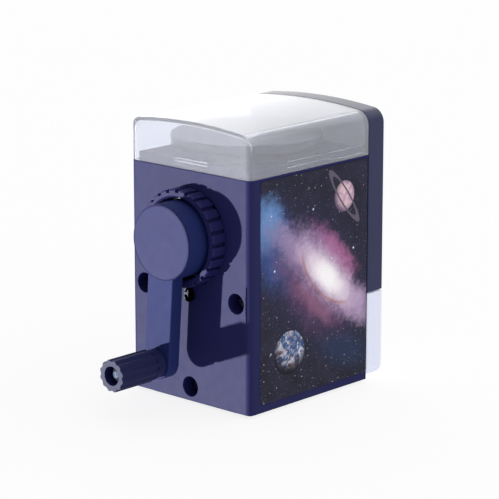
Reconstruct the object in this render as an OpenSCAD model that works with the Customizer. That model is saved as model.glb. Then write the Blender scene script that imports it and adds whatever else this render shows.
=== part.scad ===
// Hand-crank desktop pencil sharpener: a boxed shell with a clear lift-off lid over a round
// pot, a pencil carriage that pulls out on two sprung rods, and a shavings drawer under it.
// +Z is up. The crank is on the -Y face and the pencil goes in from +Y. The origin is the
// middle of the footprint, on the surface that the sharpener stands on. Millimetres.
// A depth named *_in is measured inwards (+Y) from the crank face, a *_out one outwards (-Y).

/* [Body] */
// Width across the two printed sides
body_w = 66; // [60:1:84]
// Depth of the shell, from the crank face to the seam with the carriage plate
shell_d = 71.6; // [70:0.2:90]
// Thickness of the carriage plate and of the drawer front
plate_t = 9.8; // [9.4:0.2:14]
// Height of the drawer front's top edge
drawer_top = 38; // [32:1:48]
// Height of the crank axis above the drawer front
axis_over_drawer = 32; // [30:1:42]
// Height of the lid's bottom edge above the crank axis
seam_over_axis = 26.8; // [26:0.1:38]
// Height of the crown above the lid's bottom edge
crown_over_seam = 19.7; // [18:0.2:26]
// Radius of the upright corners at the crank face
corner_r = 3; // [2.6:0.2:7]
// Radius of the rounded shoulders of the top
shoulder_r = 6; // [4:0.5:8]
// Radius of the shallow arch across the top
arch_r = 240; // [150:10:400]
// Wall of the shell's sides
shell_wall = 2.2; // [1.8:0.1:3]
// Wall of the shell's crank face
face_wall = 2.4; // [2:0.1:2.6]
// Thickness of the rubber pad underneath
pad_t = 1.2; // [0.8:0.1:2]
// Inset of the rubber pad from the shell's sides
pad_inset = 2.6; // [1:0.2:6]
// Thickness of the printed film on each side
film_t = 0.3; // [0.2:0.1:0.5]
// Distance of the film from the crank face
film_in = 6; // [5:0.5:12]

/* [Lid and pot] */
// Wall of the clear lid
lid_wall = 1.5; // [1:0.1:2]
// How far the lid's snap ribs stand inwards
snap_t = 0.7; // [0.5:0.1:0.9]
// Height of the deck above the lid's bottom edge
deck_h = 3.4; // [2.5:0.1:4.5]
// Radius of the round pot
pot_r = 27.8; // [22:0.2:28]
// How far the pot's cap overhangs the pot
cap_lip = 2.6; // [1.5:0.1:2.6]
// Height of the cap's flat top above the deck
cap_h = 7.5; // [6:0.1:9]

/* [Crank] */
// Distance from the crank axis to the grip axis
crank_r = 50.2; // [40:0.2:54]
// Lean of the crank from hanging straight down
crank_lean = 3.9; // [0:0.1:20]
// Radius of the crank's hub
hub_r = 15.3; // [12:0.1:15.5]
// Distance of the hub's front from the crank face
hub_out = 16.4; // [15:0.2:22]
// Width of the crank arm at the hub
arm_w = 14; // [9:0.2:14]
// Thickness of the crank arm
arm_t = 6; // [4:0.5:8]
// Radius of the fluted grip
grip_r = 6.6; // [5:0.1:8]
// Length of the fluted grip
grip_l = 25; // [20:0.2:36]
// Number of flutes round the grip
flute_n = 12; // [8:1:16]

/* [Lock ring] */
// Outer radius of the ribbed ring
ring_r = 20; // [19.6:0.1:22]
// Bore radius of the ribbed ring
ring_bore = 16.65; // [16.65:0.05:17]
// How far the ribbed ring stands out of the crank face
ring_out = 7.2; // [5:0.1:9]
// Number of grip ribs round the ring
rib_n = 24; // [16:1:36]

/* [Cutter unit] */
// Radius of the helical cutter
cutter_r = 6.4; // [5.5:0.1:6.8]
// Length of the helical cutter
cutter_l = 22; // [18:0.5:24]
// Angle between the cutter's axis and the crank axis
cutter_tilt = 10; // [8:0.5:12]
// Number of blades round the cutter
blade_n = 12; // [8:1:16]
// Gear module of the ring gear and the cutter's pinion
gear_m = 1; // [0.9:0.05:1]
// Teeth of the fixed internal ring gear
ring_teeth = 26; // [26:1:26]
// Teeth of the cutter's pinion
pinion_teeth = 14; // [14:1:14]
// Largest pencil radius
pencil_r = 4.2; // [3.8:0.1:4.4]

/* [Carriage] */
// Travel of the pencil carriage
feed_travel = 24; // [16:1:24]
// Radius of the two guide rods
rod_r = 1.9; // [1.5:0.1:2.2]
// Wire thickness of the two feed springs
spring_wire = 0.6; // [0.5:0.1:0.7]
// Turns in each feed spring
spring_turns = 10; // [8:1:11]
// Opening radius left between the three closed jaws
jaw_gap = 3; // [2:0.1:3.2]
// How far each jaw opens
jaw_travel = 1.7; // [1:0.1:1.8]
// Turn of the cam ring that opens the jaws
cam_turn = 20; // [14:1:24]

/* [Drawer] */
// Wall of the drawer
drawer_wall = 1.6; // [1.2:0.1:2.2]
// Gap between the drawer and what it slides in
drawer_gap = 0.5; // [0.3:0.1:0.8]

/* [Hidden] */
$fn = 96;

navy = "#3d4068";
dark_navy = "#1c2040";
steel = "#b9bcc2";
brass = "#c9a45a";
white_plastic = "#e8e8ea";

// Gap between two moulded pieces that only sit beside each other
seat_gap = 0.3;
// Gap between two moving faces
run_gap = 0.3;
// Radial gap of a shaft in its bush
shaft_gap = 0.07;
// Depth by which joined shapes sink into each other, so that they are one solid
weld = 0.05;

// Main places
half_w = body_w / 2;
face_y = -(shell_d + plate_t) / 2;
seam_y = face_y + shell_d;
front_y = seam_y + plate_t;
axis_z = drawer_top + axis_over_drawer;
seam_z = axis_z + seam_over_axis;
crown_z = seam_z + crown_over_seam;
plate_gap = 0.2;
plate_bottom = drawer_top + 0.4;
inner_half = half_w - shell_wall;
floor_t = 2.2;
floor_z = pad_t + floor_t;

// Screws that hold the shell to the inner frame
well_r = 4.1;
well_wall = 1.2;
well_depth = 9;
well_floor = 1.5;
well_x = inner_half - 5.5;
well_z = axis_z - 23.65;
low_well_z = floor_z + 3.8;
screw_head_r = 2.8;
screw_head_t = 2.2;
screw_r = 1.4;
screw_l = 8.5;
screw_gap = 0.05;
screw_spots = [[well_x, well_z], [-well_x, well_z], [0, low_well_z]];
stop_z = axis_z - ring_r - 4.1;
stop_head_r = 2.9;
stop_head_t = 1.1;

// Ribbed ring and its bayonet
ring_groove = 1.3;
ring_groove_w = 1.6;
ring_edge = 0.5;
spigot_r = ring_bore + 1.25;
lug_n = 3;
lug_r = spigot_r + 1.7;
lug_t = 1.5;
lug_arc = 24;
lug_clear_arc = 28;
bayonet_turn = 45;
shell_hole_r = spigot_r + 0.35;
lug_in = face_wall + 0.35;
spigot_in = lug_in + lug_t;

// Gear housing that the ribbed ring holds in the frame
housing_r = ring_bore - 0.35;
housing_out = 1;
flange_in = spigot_in + 0.15;
flange_t = 1.4;
flange_r = spigot_r - 0.1;
housing_wall_in = 0.2;
housing_wall_t = 2.2;
teeth_in = 6.6;
teeth_l = 4;
housing_end_in = 12.5;
ring_pitch_r = gear_m * ring_teeth / 2;
pinion_pitch_r = gear_m * pinion_teeth / 2;
gear_a = ring_pitch_r - pinion_pitch_r;
ring_root_r = ring_pitch_r + 1.3 * gear_m;
ring_tip_r = ring_pitch_r - 0.65 * gear_m;
pinion_root_r = pinion_pitch_r - 1.25 * gear_m;
pinion_tip_r = pinion_pitch_r + 0.7 * gear_m;
tooth_half = 0.65 * gear_m;
tooth_slope = 0.36;

// Cutter: its axis crosses the pinion's middle plane at gear_a above the crank axis
pinion_in = teeth_in + teeth_l / 2;
pinion_t = 3;
cutter_start = (teeth_l / 2 + cutter_r * sin(cutter_tilt) + run_gap) / cos(cutter_tilt);
shaft_r = 1.3;
cutter_bore = shaft_r + shaft_gap;
blade_depth = 0.9;
cutter_twist = 70;
cutter_slices = 14;
far_a = gear_a + (cutter_start + cutter_l) * tan(cutter_tilt);
cutter_end_in = pinion_in + (cutter_start + cutter_l) * cos(cutter_tilt);
sweep_r = far_a + cutter_r + 0.2;

// Carrier that turns the cutter round the pencil
boss_r = 5.93;
bush_wall = 1.5;
rear_disc_in = housing_wall_in + housing_wall_t + 0.6;
rear_disc_t = pinion_in - pinion_t / 2 * cos(cutter_tilt) - pinion_tip_r * sin(cutter_tilt) - run_gap - rear_disc_in;
rear_disc_r = ring_tip_r - 0.45;
front_disc_in = cutter_end_in + 2.4;
front_disc_t = 3.5;
front_disc_r = far_a + shaft_r + 2.4;
web_inner_r = 8.2;
web_half_angle = 62;
collar_r = 7;
bulkhead_in = front_disc_in + front_disc_t + 6.4;
bulkhead_t = 3;
collar_end_in = bulkhead_in + bulkhead_t + 1;
drive_half = 3.2;
drive_out = 7;
hub_back_out = 1.4;

// Inner frame
frame_half = inner_half - seat_gap - 0.2;
frame_wall_in = well_depth + 0.2;
frame_wall_t = 2.5;
frame_top = seam_z - 6.9;
frame_bottom = floor_z + 0.2;
shelf_t = 2;
shelf_z = drawer_top + 0.6;
socket_r = housing_r + seat_gap;
socket_wall = 3;
frame_boss_r = 3.8;
frame_boss_l = 5.5;
chute_half = sweep_r + 1.4;

// Rods, springs and bushes
rod_x = inner_half - 7.3;
rod_z = axis_z - 8;
rod_in = frame_wall_in + frame_wall_t + 1.3;
clip_in = rod_in + 0.6;
clip_t = 0.8;
clip_r = rod_r + 1.7;
bush_flange = 1;
rod_bush_r = rod_r + 1.5;
spring_in = clip_in + clip_t;
spring_l = bulkhead_in - bush_flange - spring_in;
spring_r = rod_r + 0.45 + spring_wire;

// Carriage plate and its jaws
plate_wall = 2.2;
back_in = shell_d + plate_gap;
back_t = 2;
guide_h = 2.2;
jaw_in = back_in + back_t + 0.15;
jaw_t = 1.9;
jaw_w = 5;
jaw_l = 9.4;
cam_in = jaw_in + jaw_t + 0.2;
cam_t = 1.7;
cam_r = 15.6;
cam_bore = pencil_r + 1.3;
jaw_pin_r = 1;
jaw_pin_at = jaw_gap + 6.6;
lever_r0 = 10.8;
lever_r1 = 14.6;
lever_arc = 16;
lever_rest = 112;
lever_out = 7.5;
rest_tab_at = 58;
bezel_bore = pencil_r + 0.2;
bezel_r = bezel_bore + 2.4;
bezel_flange = bezel_r + 1.7;
bezel_out = 1.4;

// Deck, pot and cap
deck_inset = lid_wall + snap_t + 0.3;
deck_z = seam_z + deck_h;
deck_bottom = frame_top + 0.1;
deck_wall = 1.6;
pot_y = face_y + deck_inset + pot_r + 3.4;
pot_wall = 1.5;
pot_floor_z = deck_bottom + 0.2;
cap_z = deck_z + cap_h;
cap_r = pot_r + cap_lip;
cap_edge = 1.7;
cap_curve = 3.4;
cap_base = cap_z - cap_edge - cap_curve;
cap_top_t = 1.6;
plug_r = pot_r - pot_wall - run_gap;
plug_wall = 1.4;
plug_l = 3;

// Drawer
tray_half = inner_half - drawer_gap;
tray_in = frame_wall_in + frame_wall_t + frame_boss_l + 0.8;
tray_z = floor_z + drawer_gap - 0.1;
tray_top = drawer_top - 0.6;
front_z = pad_t + 0.4;
front_wall = 2;
drawer_corner = 5;

// Grip
arm_out = hub_out - 0.6;
arm_end_r = 6.8;
grip_x = -crank_r * sin(crank_lean);
grip_z = axis_z - crank_r * cos(crank_lean);
grip_start = arm_out + run_gap;
grip_end = grip_start + grip_l;
collar_l = 4.6;
collar_cut = 0.7;
grip_pin_r = 2;
pin_head_r = 3.3;
pin_head_t = 1.8;
head_pocket_r = 3.8;
head_pocket = 4.4;

// A shape drawn in x and z, carried from depth d0 to depth d1
module carry(d0, d1) {
    translate([0, face_y + d1, 0]) rotate([90, 0, 0]) linear_extrude(d1 - d0) children();
}

// A round bar along Y at x and z
module bar(d0, d1, r, x = 0, z = axis_z) {
    translate([x, face_y + d1, z]) rotate([90, 0, 0]) cylinder(r = r, h = d1 - d0);
}

// A round hole or tube outline, as radius and depth pairs turned about the crank axis
module turned(points) {
    translate([0, face_y, axis_z]) rotate([-90, 0, 0]) rotate_extrude() polygon(points);
}

// A slice of a flat ring between two angles less than 180 degrees apart
module ring_slice(r0, r1, a0, a1) {
    reach = r1 / cos((a1 - a0) / 2) + 1;
    intersection() {
        difference() {
            circle(r = r1);
            circle(r = r0);
        }
        polygon([[0, 0], reach * [cos(a0), sin(a0)], reach * [cos((a0 + a1) / 2), sin((a0 + a1) / 2)] * 1.2,
            reach * [cos(a1), sin(a1)]]);
    }
}

// Outline of the top: upright sides, round shoulders and a shallow arch, drawn in x and z
module arch_outline(half, bottom, crown, shoulder, arch) {
    centre_z = crown - arch;
    shoulder_x = half - shoulder;
    shoulder_z = centre_z + sqrt(pow(arch - shoulder, 2) - pow(shoulder_x, 2));
    lean = asin(shoulder_x / (arch - shoulder));
    reach = shoulder + 6;
    translate([-half, bottom]) square([2 * half, shoulder_z - bottom]);
    for (side = [-1, 1]) translate([side * shoulder_x, shoulder_z]) circle(r = shoulder);
    intersection() {
        translate([0, centre_z]) circle(r = arch, $fn = 360);
        polygon([
            [-shoulder_x, shoulder_z - weld], [shoulder_x, shoulder_z - weld],
            [shoulder_x + reach * sin(lean), shoulder_z + reach * cos(lean)],
            [-shoulder_x - reach * sin(lean), shoulder_z + reach * cos(lean)]
        ]);
    }
}

// Plan of the shell: square at the seam, rounded at the crank face, drawn in x and y
module plan(half, y0, y1, r) {
    translate([-half, y0 + r]) square([2 * half, y1 - y0 - r]);
    translate([r - half, y0]) square([2 * (half - r), r + weld]);
    for (side = [-1, 1]) translate([side * (half - r), y0 + r]) circle(r = r);
}

// A rectangle with four round corners about the origin's axes
module soft_rectangle(x0, x1, y0, y1, r) {
    translate([x0 + r, y0]) square([x1 - x0 - 2 * r, y1 - y0]);
    translate([x0, y0 + r]) square([x1 - x0, y1 - y0 - 2 * r]);
    for (x = [x0 + r, x1 - r], y = [y0 + r, y1 - r]) translate([x, y]) circle(r = r);
}

// Outline of the printed film, drawn in y and z
module film_outline() {
    soft_rectangle(face_y + film_in, seam_y - 0.6, floor_z + 1.1, seam_z - 1.2, 1.6);
}

module film(side) {
    translate([side > 0 ? half_w - film_t : -half_w, 0, 0])
        rotate([90, 0, 90]) linear_extrude(film_t) film_outline();
}

// Countersunk-free pan screw along Y with a cross recess, head towards the crank
module pan_screw(head_in, x, z, head_r, head_t, r, l) {
    difference() {
        union() {
            bar(head_in, head_in + head_t, head_r, x, z);
            bar(head_in + head_t - weld, head_in + head_t + l, r, x, z);
        }
        for (turn = [0, 90]) translate([x, face_y + head_in, z]) rotate([0, turn, 0])
            cube([head_r * 1.2, head_t, 0.7], center = true);
    }
}

// ---- Shell and what is fixed in it ----

module outer_shell() {
    color(navy) difference() {
        union() {
            difference() {
                translate([0, 0, pad_t]) linear_extrude(seam_z - pad_t) plan(half_w, face_y, seam_y, corner_r);
                translate([0, 0, floor_z]) linear_extrude(seam_z)
                    plan(inner_half, face_y + face_wall, seam_y + 1, corner_r - shell_wall);
            }
            for (spot = screw_spots) bar(weld, well_depth, well_r + well_wall, spot[0], spot[1]);
            bar(weld, well_depth, screw_r + 2, 0, stop_z);
        }
        for (spot = screw_spots) {
            bar(-1, well_depth - well_floor, well_r, spot[0], spot[1]);
            bar(0, well_depth + 1, screw_r + 0.2, spot[0], spot[1]);
        }
        bar(0, well_depth + 1, screw_r + screw_gap, 0, stop_z);
        bar(-1, face_wall + 1, shell_hole_r);
        carry(-1, face_wall + 1) translate([0, axis_z]) for (i = [0:lug_n - 1])
            ring_slice(shell_hole_r - 1, lug_r + 0.35, i * 360 / lug_n + bayonet_turn - lug_clear_arc / 2,
                i * 360 / lug_n + bayonet_turn + lug_clear_arc / 2);
        for (side = [-1, 1]) translate([side > 0 ? half_w - film_t : -half_w - 1, 0, 0])
            rotate([90, 0, 90]) linear_extrude(film_t + 1) film_outline();
    }
}

module base_pad() {
    color("#161616") linear_extrude(pad_t)
        soft_rectangle(pad_inset - half_w, half_w - pad_inset, face_y + pad_inset, seam_y - pad_inset, 8);
}

module inner_frame() {
    color("#55586a") difference() {
        union() {
            carry(frame_wall_in, frame_wall_in + frame_wall_t)
                translate([-frame_half, frame_bottom]) square([2 * frame_half, frame_top - frame_bottom]);
            carry(frame_wall_in, bulkhead_in + bulkhead_t)
                translate([-frame_half, shelf_z]) square([2 * frame_half, shelf_t]);
            carry(bulkhead_in, bulkhead_in + bulkhead_t)
                translate([-frame_half, shelf_z]) square([2 * frame_half, frame_top - shelf_z]);
            bar(flange_in + flange_t + 0.05, frame_wall_in + weld, socket_r + socket_wall);
            for (spot = screw_spots)
                bar(frame_wall_in + weld, frame_wall_in + frame_wall_t + frame_boss_l, frame_boss_r, spot[0], spot[1]);
        }
        bar(0, frame_wall_in + frame_wall_t + 1, socket_r);
        for (spot = screw_spots) bar(0, shell_d, screw_r + screw_gap, spot[0], spot[1]);
        bar(bulkhead_in - 1, shell_d, collar_r + shaft_gap + bush_wall);
        for (side = [-1, 1]) bar(bulkhead_in - 1, shell_d, rod_bush_r, side * rod_x, rod_z);
        // Chute for the shavings
        translate([-chute_half, face_y + frame_wall_in + frame_wall_t + 2, shelf_z - 1])
            cube([2 * chute_half, bulkhead_in - frame_wall_in - frame_wall_t - 4, shelf_t + 2]);
    }
}

module top_deck() {
    y0 = face_y + deck_inset;
    y1 = seam_y - deck_inset;
    half = half_w - deck_inset;
    color(navy) difference() {
        union() {
            difference() {
                translate([0, 0, deck_bottom]) linear_extrude(deck_z - deck_bottom)
                    plan(half, y0, y1, corner_r - deck_inset + 1);
                translate([0, 0, deck_bottom - 1]) linear_extrude(deck_z - deck_wall - deck_bottom + 1)
                    plan(half - deck_wall, y0 + deck_wall, y1 - deck_wall, 1);
            }
            translate([0, pot_y, pot_floor_z]) cylinder(r = pot_r, h = cap_base - 0.2 - pot_floor_z);
        }
        translate([0, pot_y, pot_floor_z + pot_wall]) cylinder(r = pot_r - pot_wall, h = cap_h + deck_z);
    }
}

module side_print_left() {
    color("#3a2f55") film(-1);
}

module side_print_right() {
    color("#3a2f55") film(1);
}

module gear_housing() {
    color(white_plastic) union() {
        turned([
            [boss_r + shaft_gap + bush_wall, housing_wall_in], [housing_r, housing_wall_in],
            [housing_r, flange_in], [flange_r, flange_in], [flange_r, flange_in + flange_t],
            [housing_r, flange_in + flange_t], [housing_r, housing_end_in], [ring_root_r, housing_end_in],
            [ring_root_r, housing_wall_in + housing_wall_t],
            [boss_r + shaft_gap + bush_wall, housing_wall_in + housing_wall_t]
        ]);
        carry(teeth_in, teeth_in + teeth_l) translate([0, axis_z]) for (i = [0:ring_teeth - 1])
            rotate(90 + (i + 0.5) * 360 / ring_teeth) polygon([
                [ring_tip_r, -tooth_half + tooth_slope * (ring_pitch_r - ring_tip_r)],
                [ring_root_r + 0.4, -tooth_half - tooth_slope * (ring_root_r - ring_pitch_r)],
                [ring_root_r + 0.4, tooth_half + tooth_slope * (ring_root_r - ring_pitch_r)],
                [ring_tip_r, tooth_half - tooth_slope * (ring_pitch_r - ring_tip_r)]
            ]);
    }
}

module rear_bush() {
    r = boss_r + shaft_gap;
    color(brass) turned([
        [r, -0.5], [r + bush_wall, -0.5], [r + bush_wall, housing_wall_in + housing_wall_t],
        [r + bush_wall + 0.9, housing_wall_in + housing_wall_t],
        [r + bush_wall + 0.9, housing_wall_in + housing_wall_t + 0.4], [r, housing_wall_in + housing_wall_t + 0.4]
    ]);
}

module front_bush() {
    r = collar_r + shaft_gap;
    color(brass) turned([
        [r, bulkhead_in - bush_flange], [r + bush_wall + 1.2, bulkhead_in - bush_flange],
        [r + bush_wall + 1.2, bulkhead_in], [r + bush_wall, bulkhead_in],
        [r + bush_wall, bulkhead_in + bulkhead_t], [r, bulkhead_in + bulkhead_t]
    ]);
}

module rod_bushes() {
    color(brass) for (side = [-1, 1]) difference() {
        union() {
            bar(bulkhead_in - bush_flange, bulkhead_in, rod_bush_r + 1, side * rod_x, rod_z);
            bar(bulkhead_in - weld, bulkhead_in + bulkhead_t + 1, rod_bush_r, side * rod_x, rod_z);
        }
        bar(bulkhead_in - 2, shell_d, rod_r + shaft_gap, side * rod_x, rod_z);
    }
}

module shell_screws() {
    color(steel) for (spot = screw_spots)
        pan_screw(well_depth - well_floor - screw_head_t, spot[0], spot[1], screw_head_r, screw_head_t, screw_r, screw_l);
}

module stop_screw() {
    color(steel) difference() {
        union() {
            bar(-stop_head_t, 0, stop_head_r, 0, stop_z);
            bar(-weld, well_depth - 1, screw_r, 0, stop_z);
        }
        // Round socket, and the gap in its rim that a pin key turns it by
        bar(-stop_head_t - 1, -0.3, stop_head_r - 0.8, 0, stop_z);
        translate([-stop_head_r - 1, face_y - stop_head_t - 1, stop_z - 0.6]) cube([2, stop_head_t + 0.7, 1.2]);
    }
}

// One coil spring: a square-section wire wound as a twisted slice of a ring
module feed_springs() {
    wire_arc = 360 * spring_wire * spring_turns / spring_l;
    color(steel) for (side = [-1, 1])
        translate([side * rod_x, face_y + spring_in + 0.02, rod_z]) rotate([-90, 0, 0])
            linear_extrude(spring_l - 0.04, twist = -360 * spring_turns, slices = 12 * spring_turns, $fn = 6) polygon([
                for (t = [-1, 0, 1]) (spring_r - spring_wire / 2) * [cos(t * wire_arc / 2), sin(t * wire_arc / 2)],
                for (t = [1, 0, -1]) (spring_r + spring_wire / 2) * [cos(t * wire_arc / 2), sin(t * wire_arc / 2)]
            ]);
}

// ---- Lid and pot cap ----

module clear_lid() {
    side_z = seam_z + 2;
    color("#dfe6ee") union() {
        difference() {
            intersection() {
                carry(0, shell_d) arch_outline(half_w, seam_z, crown_z, shoulder_r, arch_r);
                translate([0, 0, seam_z]) linear_extrude(crown_over_seam + 1) plan(half_w, face_y, seam_y, corner_r);
            }
            intersection() {
                carry(lid_wall, shell_d - lid_wall) arch_outline(half_w - lid_wall, seam_z - 1, crown_z - lid_wall,
                    shoulder_r - lid_wall, arch_r - lid_wall);
                translate([0, 0, seam_z - 1]) linear_extrude(crown_over_seam + 2)
                    plan(half_w - lid_wall, face_y + lid_wall, seam_y - lid_wall, corner_r - lid_wall);
            }
        }
        // Snap ribs that close on the deck: one at the crank face, two along each side
        translate([-9.2, face_y + lid_wall - weld, seam_z + 2.6]) cube([18.4, snap_t + weld, 1.3]);
        for (side = [-1, 1]) mirror([side < 0 ? 1 : 0, 0, 0]) {
            translate([half_w - lid_wall - snap_t, face_y + 22.8, side_z])
                cube([snap_t + weld, 24.9, 2.4]);
            translate([half_w - lid_wall - 0.4, face_y + 22.8 + 24.9 - weld, side_z - 0.7])
                cube([0.4 + weld, shell_d - 22.8 - 24.9 - lid_wall + 2 * weld, 3.1]);
        }
    }
}

module pot_cap() {
    curve_steps = 8;
    color(dark_navy) translate([0, pot_y, 0]) rotate_extrude() polygon(concat(
        [[0, cap_z - cap_top_t], [0, cap_z - 0.5], [cap_r - 5, cap_z - 0.5], [cap_r - 3.6, cap_z], [cap_r - 0.4, cap_z],
            [cap_r, cap_z - 0.4], [cap_r, cap_z - cap_edge]],
        [for (i = [1:curve_steps]) let(a = 90 * i / curve_steps)
            [pot_r + cap_lip * cos(a), cap_z - cap_edge - cap_curve * sin(a)]],
        [[plug_r, cap_base], [plug_r, cap_base - plug_l], [plug_r - plug_wall, cap_base - plug_l],
            [plug_r - plug_wall, cap_z - cap_top_t]]
    ));
}

// ---- Ribbed lock ring ----

module lock_ring() {
    color(navy) difference() {
        union() {
            turned([
                [ring_bore, -ring_out + 0.8], [ring_bore + 0.8, -ring_out], [ring_r - ring_edge, -ring_out],
                [ring_r, -ring_out + ring_edge], [ring_r, -0.2], [spigot_r, -0.2], [spigot_r, spigot_in],
                [ring_bore, spigot_in]
            ]);
            carry(lug_in, spigot_in) translate([0, axis_z]) for (i = [0:lug_n - 1])
                ring_slice(spigot_r - 0.5, lug_r, i * 360 / lug_n - lug_arc / 2, i * 360 / lug_n + lug_arc / 2);
        }
        for (i = [0:rib_n - 1]) translate([0, face_y, axis_z]) rotate([0, i * 360 / rib_n, 0])
            translate([ring_r - ring_groove, -ring_out - 1, -ring_groove_w / 2])
                cube([2, ring_out + 0.9, ring_groove_w]);
    }
}

// ---- Crank ----

// Turns its children from hanging straight down to the crank's rest
module leaning() {
    translate([0, 0, axis_z]) rotate([0, crank_lean, 0]) translate([0, 0, -axis_z]) children();
}

module crank_arm() {
    cup_wall = 1.9;
    floor_out = hub_back_out + 2.2;
    boss_out = 10.6;
    color(navy) leaning() difference() {
        union() {
            turned([
                [0, -arm_out], [hub_r, -arm_out], [hub_r + 0.3, -hub_back_out], [0, -hub_back_out]
            ]);
            carry(-arm_out, -arm_out + arm_t) {
                polygon([
                    [-arm_w / 2, axis_z], [arm_w / 2, axis_z],
                    [arm_end_r, axis_z - crank_r], [-arm_end_r, axis_z - crank_r]
                ]);
                translate([0, axis_z - crank_r]) circle(r = arm_end_r);
            }
        }
        // Cup of the hub, round the central boss
        turned([
            [drive_half * 2, -arm_out - 1], [hub_r - cup_wall, -arm_out - 1], [hub_r - cup_wall, -floor_out],
            [drive_half * 2, -floor_out]
        ]);
        bar(-arm_out - 1, -boss_out, drive_half * 2 + weld);
        translate([-drive_half - 0.05, face_y - drive_out - 0.3, axis_z - drive_half - 0.05])
            cube([2 * drive_half + 0.1, drive_out, 2 * drive_half + 0.1]);
        bar(-arm_out, 0, screw_r + 0.2);
        bar(-arm_out - 1, 0, grip_pin_r, 0, axis_z - crank_r);
    }
}

module hub_cap() {
    plug = hub_r - 2;
    color("#4a4f78") turned([
        [0, -hub_out], [hub_r - 0.5, -hub_out], [hub_r, -hub_out + 0.45], [hub_r, -arm_out], [plug, -arm_out],
        [plug, -arm_out + 2.4], [plug - 1.2, -arm_out + 2.4], [plug - 1.2, -arm_out + 0.9], [0, -arm_out + 0.9]
    ]);
}

module crank_screw() {
    head_out = 12.7;
    color(steel) pan_screw(-head_out, 0, axis_z, 4, 2.1, screw_r, 9.6);
}

module grip_pin() {
    color(steel) translate([grip_x, 0, grip_z]) translate([0, 0, -axis_z]) {
        bar(-grip_end + head_pocket - 0.3, -arm_out + arm_t + 0.6, grip_pin_r);
        translate([0, -grip_end, 0]) turned([
            [0, head_pocket - 0.3 - pin_head_t], [1.4, head_pocket - 0.2 - pin_head_t],
            [2.6, head_pocket + 0.2 - pin_head_t], [pin_head_r, head_pocket + 0.9 - pin_head_t],
            [pin_head_r, head_pocket - 0.3], [0, head_pocket - 0.3]
        ]);
    }
}

module grip() {
    flute_r = 1.6;
    color(dark_navy) difference() {
        bar(-grip_end, -grip_start, grip_r, grip_x, grip_z);
        for (i = [0:flute_n - 1]) let(a = i * 360 / flute_n)
            bar(-grip_end - 1, -grip_start - collar_l, flute_r, grip_x + (grip_r + 1.05) * cos(a),
                grip_z + (grip_r + 1.05) * sin(a));
        difference() {
            bar(-grip_start - collar_l, 0, grip_r + 1, grip_x, grip_z);
            bar(-grip_start - collar_l - 1, 1, grip_r - collar_cut, grip_x, grip_z);
        }
        bar(-grip_end - 1, 0, grip_pin_r + shaft_gap, grip_x, grip_z);
        bar(-grip_end - 1, -grip_end + head_pocket, head_pocket_r, grip_x, grip_z);
    }
}

// ---- Cutter unit ----

// Places its children, drawn up +Z from the pinion's middle, along the tilted cutter axis
module on_cutter_axis() {
    translate([0, face_y + pinion_in, axis_z + gear_a]) rotate([-90 + cutter_tilt, 0, 0]) children();
}

module cutter_carrier() {
    color("#9a9da3") difference() {
        union() {
            turned([
                [0, -drive_out + 0.4], [drive_half * 0.9, -drive_out + 0.4], [drive_half * 0.9, -hub_back_out],
                [boss_r, -hub_back_out], [boss_r, rear_disc_in], [rear_disc_r, rear_disc_in],
                [rear_disc_r, rear_disc_in + rear_disc_t], [0, rear_disc_in + rear_disc_t]
            ]);
            leaning() translate([-drive_half, face_y - drive_out + 0.4, axis_z - drive_half])
                cube([2 * drive_half, drive_out - 0.4, 2 * drive_half]);
            bar(front_disc_in, front_disc_in + front_disc_t, front_disc_r);
            bar(front_disc_in + weld, collar_end_in, collar_r);
            carry(rear_disc_in + weld, front_disc_in + weld) translate([0, axis_z])
                ring_slice(web_inner_r, rear_disc_r, 270 - web_half_angle, 270 + web_half_angle);
        }
        bar(rear_disc_in + rear_disc_t, collar_end_in + 1, pencil_r);
        on_cutter_axis() translate([0, 0, -12]) cylinder(r = shaft_r, h = 60);
        bar(-drive_out - 1, -drive_out + 6, screw_r + screw_gap);
    }
}

module cutter_shaft() {
    color(steel) on_cutter_axis() translate([0, 0, -5]) cylinder(r = shaft_r, h = cutter_start + cutter_l + 11);
}

module helical_cutter() {
    tooth = 360 / blade_n;
    core = cutter_r - blade_depth;
    color("#6f737a") on_cutter_axis() difference() {
        translate([0, 0, cutter_start]) linear_extrude(cutter_l, twist = cutter_twist, slices = cutter_slices, $fn = 6) polygon([
            for (i = [0:blade_n - 1]) each [
                core * [cos(i * tooth), sin(i * tooth)],
                cutter_r * [cos((i + 0.22) * tooth), sin((i + 0.22) * tooth)],
                cutter_r * [cos((i + 0.42) * tooth), sin((i + 0.42) * tooth)]
            ]
        ]);
        translate([0, 0, cutter_start - 1]) cylinder(r = cutter_bore, h = cutter_l + 2);
    }
}

module cutter_pinion() {
    color(brass) on_cutter_axis() difference() {
        union() {
            translate([0, 0, -pinion_t / 2]) linear_extrude(pinion_t) {
                circle(r = pinion_root_r);
                for (i = [0:pinion_teeth - 1]) rotate(90 + i * 360 / pinion_teeth) polygon([
                    [pinion_root_r - 0.3, -tooth_half - tooth_slope * (pinion_pitch_r - pinion_root_r)],
                    [pinion_tip_r, -tooth_half + tooth_slope * (pinion_tip_r - pinion_pitch_r)],
                    [pinion_tip_r, tooth_half - tooth_slope * (pinion_tip_r - pinion_pitch_r)],
                    [pinion_root_r - 0.3, tooth_half + tooth_slope * (pinion_pitch_r - pinion_root_r)]
                ]);
            }
            translate([0, 0, pinion_t / 2 - weld]) cylinder(r = 3.4, h = cutter_start - pinion_t / 2 + weld);
        }
        translate([0, 0, -pinion_t]) cylinder(r = cutter_bore, h = 2 * pinion_t + cutter_start);
    }
}

// ---- Pencil carriage ----

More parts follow.
